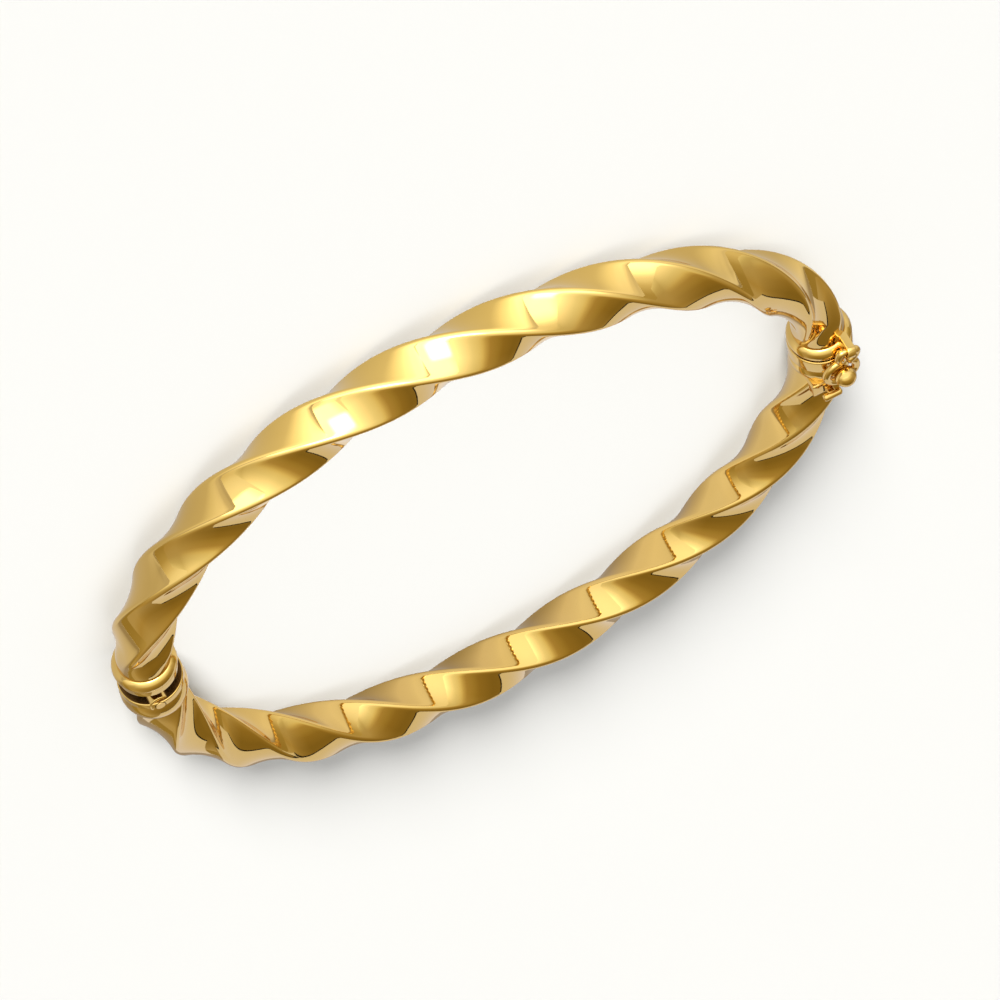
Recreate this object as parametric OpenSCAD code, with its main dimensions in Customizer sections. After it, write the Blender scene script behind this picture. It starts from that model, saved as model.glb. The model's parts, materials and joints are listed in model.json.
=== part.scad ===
// Oval hinged bangle of twisted square tube, with a tongue clasp and a figure-of-eight safety catch.
// It lies on its side. X runs from the hinge to the clasp, Y across the oval, and Z is up.
// The origin is on the floor, under the middle of the whole bangle.

/* [Oval] */
// Distance from the middle of the hinge collars to the middle of the clasp collars
span = 64.9; // [58:0.1:72]
// How far the front half stands out from the middle of the oval
front_height = 27.83; // [25:0.01:31]
// How far the back half stands out from the middle of the oval
back_height = 28.18; // [25:0.01:31]
// How far the middle of the oval lies towards the hinge
oval_to_hinge = 2.16; // [0:0.01:3]
// How far the middle of the oval lies behind the line from hinge to clasp
oval_to_back = 1.72; // [0:0.02:3]
// Turn of the oval's long axis against the line from hinge to clasp, in degrees
oval_turn = 2; // [0:0.1:3]

/* [Twisted tube] */
// Side of the square tube, flat to flat
tube_side = 4.04; // [3.4:0.02:4.2]
// Radius of the tube's rounded edges
edge_r = 0.48; // [0.3:0.02:0.8]
// Length of tube in which the square turns once
twist_pitch = 36.7; // [28:0.1:46]
// Direction of an edge at the middle of the front half, up from straight outwards, in degrees
front_phase = 54.8; // [0:0.1:90]
// Direction of an edge at the middle of the back half, up from straight outwards, in degrees
back_phase = 34.2; // [0:0.1:90]

/* [Hinge] */
// Greatest radius of the domed collar on the front half
front_collar_r = 2.85; // [2.7:0.01:2.95]
// Greatest radius of the collar on the back half
back_collar_r = 3.0; // [2.8:0.01:3.1]
// Length of the front half's domed collar
front_collar_l = 1.6; // [1.5:0.1:2.5]
// Thickness of the flat plate under the domed collar
seat_l = 0.9; // [0.7:0.05:1.2]
// Length of the back half's collar
back_collar_l = 2.9; // [2.4:0.1:3.6]
// Open gap between the two halves at the hinge
hinge_gap = 1.2; // [1:0.05:1.5]
// Radius of the hinge pin
pin_r = 0.45; // [0.35:0.01:0.5]
// Depth of the hinge pin's axis below the face of the back half's collar
pin_depth = 0.5; // [0.45:0.05:0.7]
// How far the hinge pin lies outside the middle of the collars
pin_out = 0.35; // [0:0.05:0.5]
// Radius of the knuckles round the hinge pin
knuckle_r = 0.95; // [0.85:0.05:1.1]
// Height of the middle knuckle, along the pin
knuckle_h = 2.0; // [1.6:0.1:2.4]
// How far the hinge opens, in degrees
hinge_open = 22; // [10:1:22]

/* [Clasp] */
// Greatest radius of the clasp collars
clasp_r = 2.88; // [2.8:0.01:3]
// Length of the front half's clasp collar
front_clasp_l = 1.7; // [1.5:0.1:2.5]
// Length of the back half's clasp collar
back_clasp_l = 3.4; // [2.8:0.1:4]
// Gap between the two halves at the clasp
clasp_gap = 0.2; // [0.1:0.05:0.4]
// Width of the tongue
tongue_w = 2.6; // [2:0.1:2.8]
// Thickness of the tongue
tongue_t = 0.8; // [0.6:0.05:1]
// How far the tongue reaches into the back half
tongue_l = 3.4; // [2.4:0.1:3.6]
// Depth of the tongue's root in the front half's collar
tongue_root = 1.2; // [0.8:0.1:1.5]

/* [Safety catch] */
// Radius of the catch's wire
wire_r = 0.36; // [0.3:0.01:0.38]
// Radius of the eye that goes round the ball, to the middle of the wire
eye_r = 1.45; // [1.42:0.01:1.5]
// Half the width of the catch's hinged end, to the middle of the wire
catch_half_w = 0.82; // [0.78:0.01:0.9]
// Distance of the catch's hinge from the clasp's seam
catch_hinge_y = 1.25; // [1.1:0.05:1.4]
// How far the catch's hinge lies outside the middle of the clasp collars
catch_out = 1.1; // [0.8:0.05:1.2]
// Turn of the catch, its hinge outwards, in degrees
catch_turn = 17.5; // [10:0.5:20]
// Radius of the ball
ball_r = 0.98; // [0.85:0.01:0.98]
// Distance of the ball from the catch's hinge
ball_reach = 2.73; // [2.7:0.01:2.9]
// Height of the ball's middle above the catch's wire
ball_up = 0.7; // [0.6:0.05:0.8]

/* [Release button] */
// Radius of the button's bar
bar_r = 0.38; // [0.35:0.01:0.45]
// Length of the button's bar
bar_l = 1.8; // [1.6:0.1:2.2]
// How far the bar lies inside the middle of the clasp collars
bar_in = 0.85; // [0.7:0.05:1.1]
// How far the button goes in when it is pressed
press = 0.4; // [0.2:0.05:0.5]

/* [Fits] */
// Running clearance round the hinge pin and the catch's bar
running = 0.05; // [0.02:0.01:0.08]
// Clearance of parts that are set into each other
set_gap = 0.03; // [0.02:0.01:0.05]
// Clearance of knuckles, ears and the tongue in what they pass
pass_gap = 0.12; // [0.08:0.01:0.18]

/* [Hidden] */
GOLD = "goldenrod";
FINE = 64;

// Rows of the two halves: side of Y, height, extra reach at the clasp and at the hinge,
// roundness of the outline on each side (2 is an ellipse), phase, and the way the twist runs.
SIDE = 0;
HEIGHT = 1;
CLASP_SWELL = 2;
HINGE_SWELL = 3;
CLASP_ROUND = 4;
HINGE_ROUND = 5;
PHASE = 6;
WAY = 7;
FRONT = [1, front_height, 0.26, 0.61, 2.03, 2.10, front_phase, -1];
BACK = [-1, back_height, -0.48, 0.47, 1.93, 2.13, back_phase, 1];

// Place of the bangle over the origin
floor_to_axis = max(back_collar_r, clasp_r);
middle_x = (back_collar_r - clasp_r)/2;
hinge_x = -span/2;
clasp_x = span/2;
pin_x = hinge_x - pin_out;
back_hinge_face = -0.35;
front_hinge_face = back_hinge_face + hinge_gap;
front_collar_y = front_hinge_face + seat_l;
pin_y = back_hinge_face - pin_depth;
front_clasp_face = clasp_gap/2;
back_clasp_face = -clasp_gap/2;
catch_x = clasp_x + catch_out;
catch_z = clasp_r + wire_r + 0.14;
lug_half_w = catch_half_w - wire_r - running;
eye_reach = ball_reach + 0.06;
bar_x = clasp_x - bar_in;
bar_y = back_clasp_face - back_clasp_l - 0.85;
bar_seat_z = clasp_r - 0.15;
bar_z = bar_seat_z + press + 0.06 + bar_r;
stem_z = 1.3;
stem_x = 0.7;
stem_y = 0.8;
slot_floor_z = stem_z - press - 0.1;

// Flat seat under the front half's hinge collar, and how far collars and beads curve in at their ends
seat_r = front_collar_r - 0.2;
bead_swell = 0.9;
bead_lip_l = 0.45;
lip_swell = 0.12;
collar_swell = 0.2;
seat_overlap = 0.2;

// Back half's hinge collar: its flat lip at the face, and the ears that carry the pin's ends
lip_l = 0.85;
lip_in = 0.12;
overlap = 0.1;
ear_in = 0.35;
pin_in = 0.1;

// Clasp box of the back half: rim at its face, groove, and ring on the tube
rim_l = 1.6;
groove_l = 0.2;
groove_depth = 0.2;
ring_in = 0.04;
ring_l = back_clasp_l - rim_l - groove_l;

// Lug of the safety catch, and the neck of its ball
lug_wall = 0.3;
lug_l = 1.6;
neck_r = 0.36;
neck_l = 1.4;

// Block that guides the button's stem, past the bar's ends and to both sides of the bar
guide_in = 0.5;
guide_short = 0.4;
guide_back = 0.7;
guide_ahead = 0.95;
stem_gap = set_gap + 0.05;

// How deep the tube goes into its collars, and over what part of the oval it is drawn in to them
bury = 1.1;
draw_in = 24;
RINGS = 108;
ARC_STEPS = 3;
FACE_STEPS = 3;
front_points = tube_points(FRONT, front_clasp_face + front_clasp_l - bury, front_collar_y + front_collar_l - bury);
back_points = tube_points(BACK, back_clasp_face - back_clasp_l + bury, back_hinge_face - back_collar_l + bury/2);
middle_y = -(max([for (p = front_points) p[1]]) + min([for (p = back_points) p[1]]))/2;

// One point of a half's centreline, at t degrees round from the clasp
function oval(half, t) =
    let (
        at_clasp = t <= 90,
        power = 2/(at_clasp ? half[CLASP_ROUND] : half[HINGE_ROUND]),
        reach = at_clasp
            ? span/2 + oval_to_hinge + half[CLASP_SWELL]
            : span/2 - oval_to_hinge + half[HINGE_SWELL],
        x = reach*(at_clasp ? 1 : -1)*pow(abs(cos(t)), power),
        y = half[SIDE]*half[HEIGHT]*pow(max(sin(t), 0), power)
    )
    [x*cos(oval_turn) - y*sin(oval_turn) - oval_to_hinge, x*sin(oval_turn) + y*cos(oval_turn) - oval_to_back];

// Angle round the oval at which a half stands off the line from hinge to clasp by y
function angle_at(half, y, at_clasp) =
    let (
        tip = oval(half, at_clasp ? 0 : 180)[1],
        power = 2/(at_clasp ? half[CLASP_ROUND] : half[HINGE_ROUND]),
        off = max(half[SIDE]*(y - tip), 0.001),
        t = asin(pow(off/half[HEIGHT], 1/power))
    )
    at_clasp ? t : 180 - t;

// Share of a collar's pull that is left at t degrees, from 1 at the collar to 0 past the drawn-in stretch
function pull(t, end) = pow(max(1 - abs(t - end)/draw_in, 0), 2);

// Centreline of a half from its clasp collar to its hinge collar
function route(half, clasp_y, hinge_y) =
    let (
        t0 = angle_at(half, clasp_y, true),
        t1 = angle_at(half, hinge_y, false),
        to_clasp = clasp_x - oval(half, t0)[0],
        to_hinge = hinge_x - oval(half, t1)[0]
    )
    [for (i = [0:RINGS])
        let (t = t0 + (t1 - t0)*i/RINGS)
        [oval(half, t)[0] + to_clasp*pull(t, t0) + to_hinge*pull(t, t1), oval(half, t)[1], t]];

function flat(p) = [p[0], p[1]];

// Length along a route at each of its points
function lengths(points) =
    [for (i = 0, sum = 0; i < len(points);
        sum = sum + (i < len(points) - 1 ? norm(flat(points[i + 1]) - flat(points[i])) : 0), i = i + 1) sum];

// Square with round corners, from one corner on, as [outwards, up]
function rounded_square() =
    let (
        h = tube_side/2,
        corner = (h - edge_r)*sqrt(2),
        arc = [for (j = [0:ARC_STEPS]) let (a = -45 + 90*j/ARC_STEPS) [corner + edge_r*cos(a), edge_r*sin(a)]],
        next = [-arc[0][1], arc[0][0]],
        face = [for (j = [1:FACE_STEPS - 1]) arc[ARC_STEPS] + (next - arc[ARC_STEPS])*j/FACE_STEPS]
    )
    [for (k = [0:3]) for (p = concat(arc, face)) [p[0]*cos(90*k) - p[1]*sin(90*k), p[0]*sin(90*k) + p[1]*cos(90*k)]];

// Points of a half's tube, ring by ring from the clasp collar to the hinge collar
function tube_points(half, clasp_y, hinge_y) =
    let (
        points = route(half, clasp_y, hinge_y),
        along = lengths(points),
        middle = lookup(90, [for (i = [0:RINGS]) [points[i][2], along[i]]]),
        section = rounded_square()
    )
    [for (i = [0:RINGS])
        let (
            ahead = flat(points[min(i + 1, RINGS)]) - flat(points[max(i - 1, 0)]),
            out = half[SIDE]*[ahead[1], -ahead[0]]/norm(ahead),
            turn = half[PHASE] + half[WAY]*360*(along[i] - middle)/twist_pitch
        )
        for (p = section)
            let (
                u = p[0]*cos(turn) - p[1]*sin(turn),
                v = p[0]*sin(turn) + p[1]*cos(turn)
            )
            [points[i][0] + out[0]*u, points[i][1] + out[1]*u, v]];

module twisted_tube(half, points) {
    m = len(rounded_square());
    side_faces = [for (i = [0:RINGS - 1]) for (j = [0:m - 1])
        let (a = i*m + j, b = i*m + (j + 1)%m)
        each [[a, a + m, b + m], [a, b + m, b]]];
    first_cap = [for (j = [0:m - 1]) j];
    last_cap = [for (j = [m - 1:-1:0]) RINGS*m + j];
    faces = concat(side_faces, [first_cap], [last_cap]);
    reversed = [for (f = faces) [for (k = [len(f) - 1:-1:0]) f[k]]];
    polyhedron(points = points, faces = half[SIDE] < 0 ? faces : reversed);
}

// A round piece about a line along Y through x, from y0 to y1, given as a profile over its length
module lathe_y(x, y0) {
    translate([x, y0, 0]) rotate([-90, 0, 0]) rotate_extrude($fn = FINE) children();
}

// Profile of a collar whose side swells from r_end at both ends to r_mid
module domed_profile(r_mid, r_end, l) {
    swell = r_mid - r_end;
    arc_r = (l*l/4 + swell*swell)/(2*swell);
    intersection() {
        translate([r_mid - arc_r, l/2]) circle(r = arc_r, $fn = FINE*2);
        square([r_mid, l]);
    }
}

// Profile of a collar that swells to r_mid at a height of lip, then curves in to r_end
module bell_profile(r_mid, r_end, lip, l) {
    swell = r_mid - r_end;
    arc_r = ((l - lip)*(l - lip) + swell*swell)/(2*swell);
    translate([0, lip]) intersection() {
        translate([r_mid - arc_r, 0]) circle(r = arc_r, $fn = FINE*2);
        square([r_mid, l - lip]);
    }
    domed_profile(r_mid, r_mid - lip_swell, 2*lip);
}

module rod_x(x, y, z, r, l) {
    translate([x - l/2, y, z]) rotate([0, 90, 0]) cylinder(r = r, h = l, $fn = FINE/2);
}

module rod_z(x, y, z0, z1, r) {
    translate([x, y, z0]) cylinder(r = r, h = z1 - z0, $fn = FINE/2);
}

module block(x0, x1, y0, y1, z0, z1) {
    translate([x0, y0, z0]) cube([x1 - x0, y1 - y0, z1 - z0]);
}

// Moves what is drawn round the line from hinge to clasp to its place over the origin
module placed() {
    translate([middle_x, middle_y, floor_to_axis]) children();
}

// Moves what is drawn round the middle of the catch's bar, with the ball towards -Y, to its place
module at_catch() {
    translate([catch_x, catch_hinge_y, catch_z]) rotate([0, 0, -catch_turn]) children();
}

// Shank of the middle knuckle, grown by a margin and turned about the pin
module knuckle_shank(grow, turn, top) {
    translate([pin_x, pin_y, 0]) rotate([0, 0, turn])
        block(-knuckle_r - grow, knuckle_r + grow, 0, top, -knuckle_h/2 - grow, knuckle_h/2 + grow);
}

module front_half() {
    color(GOLD) placed() difference() {
        union() {
            twisted_tube(FRONT, front_points);
            lathe_y(hinge_x, front_collar_y)
                bell_profile(front_collar_r, front_collar_r - bead_swell, bead_lip_l, front_collar_l);
            lathe_y(hinge_x, front_hinge_face) square([seat_r, seat_l + seat_overlap]);
            knuckle_shank(0, 0, front_hinge_face - pin_y + overlap);
            rod_z(pin_x, pin_y, -knuckle_h/2, knuckle_h/2, knuckle_r);
            lathe_y(clasp_x, front_clasp_face)
                bell_profile(clasp_r, clasp_r - bead_swell, bead_lip_l, front_clasp_l);
            at_catch() {
                rod_x(0, 0, 0, wire_r + lug_wall, 2*lug_half_w);
                block(-lug_half_w, lug_half_w, -wire_r - lug_wall, wire_r + lug_wall, -lug_l, 0);
            }
        }
        rod_z(pin_x, pin_y, -knuckle_h, knuckle_h, pin_r + running);
        at_catch() rod_x(0, 0, 0, wire_r + running, 3*catch_half_w);
        block(clasp_x - tongue_w/2 - set_gap, clasp_x + tongue_w/2 + set_gap,
            front_clasp_face - 1, front_clasp_face + tongue_root + set_gap,
            -tongue_t/2 - set_gap, tongue_t/2 + set_gap);
    }
}

module back_half() {
    ear_z0 = knuckle_h/2 + pass_gap;
    ear_z1 = back_collar_r - ear_in;
    color(GOLD) placed() difference() {
        union() {
            twisted_tube(BACK, back_points);
            lathe_y(hinge_x, back_hinge_face - back_collar_l) union() {
                domed_profile(back_collar_r, back_collar_r - collar_swell, back_collar_l - lip_l);
                translate([0, back_collar_l - lip_l - overlap]) square([back_collar_r - lip_in, lip_l + overlap]);
            }
            for (side = [-1, 1])
                rod_z(pin_x, pin_y, side > 0 ? ear_z0 : -ear_z1, side > 0 ? ear_z1 : -ear_z0, knuckle_r);
            clasp_box();
            at_catch() {
                rod_z(0, -ball_reach, -neck_l, ball_up, neck_r);
                translate([0, -ball_reach, ball_up]) sphere(r = ball_r, $fn = FINE);
            }
            block(bar_x - bar_l/2 - guide_in, bar_x + bar_l/2 - guide_short,
                bar_y - guide_back, bar_y + guide_ahead, slot_floor_z, bar_seat_z);
        }
        for (turn = [0, hinge_open/2, hinge_open])
            knuckle_shank(pass_gap, turn, back_collar_l);
        rod_z(pin_x, pin_y, -knuckle_h/2 - pass_gap, knuckle_h/2 + pass_gap, knuckle_r + pass_gap);
        rod_z(pin_x, pin_y, -2*back_collar_r, 2*back_collar_r, pin_r + set_gap/2);
        block(clasp_x - tongue_w/2 - 2*pass_gap, clasp_x + tongue_w/2 + 2*pass_gap,
            back_clasp_face - tongue_l - 2*pass_gap, back_clasp_face + 1,
            -tongue_t/2 - 2*pass_gap, tongue_t/2 + 2*pass_gap);
        block(bar_x - stem_x/2 - stem_gap, bar_x + stem_x/2 + stem_gap,
            bar_y - stem_y/2 - stem_gap, bar_y + stem_y/2 + stem_gap, slot_floor_z, 2*clasp_r);
    }
}

// Collars of the clasp box: the rim at its face, the groove, and the ring on the tube
module clasp_box() {
    lathe_y(clasp_x, back_clasp_face - rim_l) square([clasp_r, rim_l]);
    lathe_y(clasp_x, back_clasp_face - rim_l - groove_l - overlap)
        square([clasp_r - groove_depth, groove_l + 2*overlap]);
    lathe_y(clasp_x, back_clasp_face - back_clasp_l)
        domed_profile(clasp_r - ring_in, clasp_r - ring_in - collar_swell, ring_l);
}

module hinge_pin() {
    half_l = back_collar_r - pin_in;
    color(GOLD) placed() rod_z(pin_x, pin_y, -half_l, half_l, pin_r);
}

module tongue() {
    color(GOLD) placed()
        block(clasp_x - tongue_w/2, clasp_x + tongue_w/2,
            back_clasp_face - tongue_l, front_clasp_face + tongue_root, -tongue_t/2, tongue_t/2);
}

module safety_catch() {
    side_l = eye_reach - sqrt(eye_r*eye_r - catch_half_w*catch_half_w);
    color(GOLD) placed() at_catch() union() {
        translate([0, -eye_reach, 0])
            rotate_extrude($fn = FINE) translate([eye_r, 0]) circle(r = wire_r, $fn = FINE/2);
        rod_x(0, 0, 0, wire_r, 2*catch_half_w);
        for (side = [-1, 1]) translate([side*catch_half_w, 0, 0]) {
            rotate([90, 0, 0]) cylinder(r = wire_r, h = side_l, $fn = FINE/2);
            sphere(r = wire_r, $fn = FINE/2);
        }
    }
}

module release_button() {
    color(GOLD) placed() union() {
        rod_x(bar_x, bar_y, bar_z, bar_r, bar_l);
        block(bar_x - stem_x/2, bar_x + stem_x/2, bar_y - stem_y/2, bar_y + stem_y/2, stem_z, bar_z);
    }
}

front_half();
back_half();
hinge_pin();
tongue();
safety_catch();
release_button();
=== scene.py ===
"""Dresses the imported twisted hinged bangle: its tubes, collars, hinge, clasp and safety catch in polished
gold, on a pale floor under soft studio light, with a camera at the photograph's angle.

Lengths are in millimetres until a mesh is made. X runs from the hinge to the clasp, Y across the oval
towards the front half, and Z is up. Shapes are drawn round the line from hinge to clasp, at Z 0. In the
names of measures R is a radius, L a length, W a width, T a thickness and IN a step inwards."""

import json

import bpy
import numpy as np
from mathutils import Matrix


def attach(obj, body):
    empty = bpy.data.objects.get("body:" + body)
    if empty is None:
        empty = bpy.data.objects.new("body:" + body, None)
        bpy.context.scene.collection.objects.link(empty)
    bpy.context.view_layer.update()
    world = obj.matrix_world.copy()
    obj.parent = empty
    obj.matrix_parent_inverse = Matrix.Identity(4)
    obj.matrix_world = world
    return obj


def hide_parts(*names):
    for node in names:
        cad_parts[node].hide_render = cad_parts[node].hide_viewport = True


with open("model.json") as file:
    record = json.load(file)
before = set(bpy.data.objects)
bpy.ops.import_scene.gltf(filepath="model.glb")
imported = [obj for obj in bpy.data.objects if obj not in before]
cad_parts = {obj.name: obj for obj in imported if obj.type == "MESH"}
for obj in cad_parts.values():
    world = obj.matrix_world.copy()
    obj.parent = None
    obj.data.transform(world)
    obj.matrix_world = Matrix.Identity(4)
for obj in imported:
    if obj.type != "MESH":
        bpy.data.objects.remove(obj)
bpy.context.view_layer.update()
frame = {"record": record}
record = frame["record"]
joints = {joint["name"]: joint for joint in record["behaviour"]["joints"]}
MM = 0.001
SHARP_EDGE_R = 0.02
CREASE = np.radians(38)

# Oval and twisted tube
SPAN = 64.9
OVAL_TO_HINGE = 2.16
OVAL_TO_BACK = 1.72
OVAL_TURN = np.radians(2.0)
TUBE_SIDE = 4.04
TUBE_EDGE_R = 0.48
TWIST_PITCH = 36.7
DRAWN_ARC = np.radians(24)
BURIED_L = 1.1
END_ROUND_R = 2.36
END_ROUND_L = 2.7
FRONT = dict(side=1, height=27.83, clasp_swell=0.26, hinge_swell=0.61, clasp_round=2.03, hinge_round=2.10,
             phase=np.radians(54.8), way=-1)
BACK = dict(side=-1, height=28.18, clasp_swell=-0.48, hinge_swell=0.47, clasp_round=1.93, hinge_round=2.13,
            phase=np.radians(34.2), way=1)

# Hinge
HINGE_X = -SPAN / 2
FRONT_COLLAR_R = 2.85
FRONT_COLLAR_L = 1.6
SEAT_L = 0.9
SEAT_IN = 0.2
SEAT_UNDER_BEAD = 0.2
SEAT_EDGE_R = 0.12
BEAD_L = 1.3
BEAD_SWELL = 0.52
BEAD_LIP_L = 0.45
BEAD_LIP_IN = 0.14
BACK_COLLAR_R = 3.0
BACK_COLLAR_L = 2.9
BARREL_SWELL = 0.2
LIP_L = 0.85
LIP_IN = 0.12
LIP_GROOVE = 0.1
LIP_RADII = (0.05, 0.12)
BACK_HINGE_FACE = -0.35
FRONT_HINGE_FACE = 0.85
PIN_R = 0.45
PIN_AT = np.array([HINGE_X - 0.35, BACK_HINGE_FACE - 0.5, 0.0])
PIN_IN = 0.1
PIN_HEAD_L = 0.12
PIN_PLAY = 0.05
PIN_HOLE_HALF = 4
KNUCKLE_R = 0.95
KNUCKLE_HALF = 1.0
KNUCKLE_ROOT = 0.1
EAR_PLAY = 0.015
EAR_IN = 0.35
PASS_GAP = 0.12
FRONT_RIM = 0.4
FACE_BAND = 0.06
BACK_RIM = 0.3
BACK_FOOT_L = 0.2

# Clasp, safety catch and release button
CLASP_X = SPAN / 2
CLASP_R = 2.88
CLASP_FACE = 0.1
FRONT_CLASP_L = 1.7
CLASP_LIP_IN = 0.16
BACK_CLASP_L = 3.4
RING_L = 1.6
RING_IN = 0.04
RING_SWELL = 0.2
RING_GROOVE_L = 0.2
BOX_RADII = (0.04, 0.1, 0.14)
TONGUE_W = 2.6
TONGUE_T = 0.8
TONGUE_L = 3.4
TONGUE_ROOT = 1.2
LEAF_HALF_T = 0.15
LEAF_EDGE_R = 0.05
MOUTH_GAP = 0.24
MOUTH_EDGE_R = 0.1
MOUTH_PAST_FACE = 1
WIRE_R = 0.36
EYE_R = 1.45
EYE_ARC = 150
EYE_PAST_BALL = 0.06
CATCH_HALF_W = 0.82
CATCH_WAIST = [(0.50, -1.33), (0.74, -1.02), (CATCH_HALF_W + 0.02, -0.62), (CATCH_HALF_W, -0.22),
               (0.56, 0.0)]
CATCH_PIVOT = np.array([CLASP_X + 1.1, 1.25, CLASP_R + WIRE_R + 0.14])
CATCH_TURN = np.radians(-17.5)
LUG_L = 1.6
LUG_WALL = 0.3
LUG_PLAY = 0.05
BALL_R = 0.98
BALL_REACH = 2.73
BALL_UP = 0.7
BALL_NECK_R = 0.36
BALL_NECK_L = 1.4
BAR_R = 0.38
BAR_HALF = 0.9
BAR_END_L = 0.26
BAR_LIFT = 0.46
GUIDE_TOP = CLASP_R - 0.15
BAR_AT = np.array([CLASP_X - 0.85, -CLASP_FACE - BACK_CLASP_L - 0.85, GUIDE_TOP + BAR_LIFT + BAR_R])
GUIDE_LOW = (BAR_AT[0] - BAR_HALF - 0.5, BAR_AT[1] - 0.7, 0.8)
GUIDE_HIGH = (BAR_AT[0] + BAR_HALF - 0.4, BAR_AT[1] + 0.95, GUIDE_TOP)
GUIDE_EDGE_R = 0.16
STEM_HALF = np.array([0.35, 0.4])
STEM_FOOT = 1.3
STEM_EDGE_R = 0.08
STEM_PLAY = 0.08
STEM_HOLE_TOP = 5
STEM_HOLE_EDGE_R = 0.03
WORN_EDGE = 0.05
GUIDE_WORN_EDGE = 0.04

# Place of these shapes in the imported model, from the arm's hinge, which is on the pin
HINGE_AT = np.array(joints["arm_hinge"]["pos_m"], float) / MM
PLACE = HINGE_AT - PIN_AT
ARM_SWING = np.radians(joints["arm_hinge"]["range_deg"][1])


def oval(half, t):
    """Points of a half's centreline at angles t round from the clasp: a superellipse, reach times cos t and
    height times sin t, each to the power 2 over the roundness, turned a little and moved off the middle."""
    at_clasp = t <= np.pi / 2
    power = 2 / np.where(at_clasp, half["clasp_round"], half["hinge_round"])
    reach = np.where(at_clasp, SPAN / 2 + OVAL_TO_HINGE + half["clasp_swell"],
                     SPAN / 2 - OVAL_TO_HINGE + half["hinge_swell"])
    x = reach * np.where(at_clasp, 1, -1) * np.abs(np.cos(t)) ** power
    y = half["side"] * half["height"] * np.maximum(np.sin(t), 0) ** power
    cos, sin = np.cos(OVAL_TURN), np.sin(OVAL_TURN)
    return np.stack([x * cos - y * sin - OVAL_TO_HINGE, x * sin + y * cos - OVAL_TO_BACK], -1)


def angle_at(half, y, at_clasp):
    """Angle where a half stands off the line from hinge to clasp by y: the oval's formula solved for t."""
    tip = oval(half, np.array(0.0 if at_clasp else np.pi))[1]
    power = 2 / half["clasp_round" if at_clasp else "hinge_round"]
    t = np.arcsin((max(half["side"] * (y - tip), 0.001) / half["height"]) ** (1 / power))
    return t if at_clasp else np.pi - t


def rounded_square(arc_steps, face_steps):
    """Square with round corners: four quarter turns of one corner's arc and the face after it."""
    corner = (TUBE_SIDE / 2 - TUBE_EDGE_R) * np.sqrt(2)
    a = np.linspace(-np.pi / 4, np.pi / 4, arc_steps + 1)
    arc = np.stack([corner + TUBE_EDGE_R * np.cos(a), TUBE_EDGE_R * np.sin(a)], -1)
    to_next = np.array([-arc[0, 1], arc[0, 0]]) - arc[-1]
    face = arc[-1] + to_next * (np.arange(1, face_steps) / face_steps)[:, None]
    quarter = np.concatenate([arc, face])
    turns = [[(np.cos(k), np.sin(k)), (-np.sin(k), np.cos(k))] for k in np.arange(4) * np.pi / 2]
    return np.concatenate([quarter @ np.array(turn) for turn in turns])


def twisted_tube(half, clasp_y, hinge_y, buried=None, rings=640, arc_steps=8, face_steps=14):
    """The rounded square carried along the half's route, drawn in to both collars over the last arc.

    At length s from the middle it is turned about the route by the phase plus 360 degrees times s over the
    pitch. Where buried is given, the square turns into a circle of radius R on its way to a collar that
    hides that much of it: each point p goes to p + w (R p / |p| - p), where w is the share of the way, u,
    eased as u times u times (3 - 2 u)."""
    t0, t1 = angle_at(half, clasp_y, True), angle_at(half, hinge_y, False)
    t = np.linspace(t0, t1, rings)
    route = oval(half, t)
    to_clasp = SPAN / 2 - route[0, 0]
    to_hinge = -SPAN / 2 - route[-1, 0]
    route[:, 0] += to_clasp * np.maximum(1 - np.abs(t - t0) / DRAWN_ARC, 0) ** 2
    route[:, 0] += to_hinge * np.maximum(1 - np.abs(t - t1) / DRAWN_ARC, 0) ** 2
    along = np.concatenate([[0], np.cumsum(np.linalg.norm(np.diff(route, axis=0), axis=1))])
    ahead = np.gradient(route, axis=0)
    ahead /= np.linalg.norm(ahead, axis=1)[:, None]
    out = half["side"] * np.stack([ahead[:, 1], -ahead[:, 0]], -1)
    turn = half["phase"] + half["way"] * 2 * np.pi * (along - np.interp(np.pi / 2, t, along)) / TWIST_PITCH
    p = rounded_square(arc_steps, face_steps) * np.ones((rings, 1, 1))
    if buried is not None:
        from_end = np.minimum(along, along[-1] - along)
        u = np.clip(1 - (from_end - buried) / END_ROUND_L, 0, 1)
        w = (u * u * (3 - 2 * u))[:, None, None]
        p += w * (END_ROUND_R * p / np.linalg.norm(p, axis=-1, keepdims=True) - p)
    cos, sin = np.cos(turn)[:, None], np.sin(turn)[:, None]
    across = p[..., 0] * cos - p[..., 1] * sin
    x = route[:, 0, None] + out[:, 0, None] * across
    y = route[:, 1, None] + out[:, 1, None] * across
    grid = np.stack([x, y, p[..., 0] * sin + p[..., 1] * cos], -1)
    return solid(grid, np.append(route[0], 0.0), np.append(route[-1], 0.0))


def filleted(corners, radii, steps=6):
    """A line through corners, each inner one replaced by an arc of its radius that touches both edges."""
    corners = np.asarray(corners, float)
    out = [corners[:1]]
    for before, at, after, r in zip(corners, corners[1:], corners[2:], radii):
        a = (before - at) / np.linalg.norm(before - at)
        b = (after - at) / np.linalg.norm(after - at)
        half_angle = np.arccos(np.clip(a @ b, -1, 1)) / 2
        middle = a + b
        centre = at + middle / np.linalg.norm(middle) * r / np.sin(half_angle)
        start = at + a * r / np.tan(half_angle) - centre
        end = at + b * r / np.tan(half_angle) - centre
        share = np.linspace(0, 1, steps + 1)[:, None]
        spread = np.pi - 2 * half_angle
        arc = start * np.sin((1 - share) * spread) + end * np.sin(share * spread)
        out.append(centre + arc / np.sin(spread))
    return np.concatenate(out + [corners[-1:]])


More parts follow.
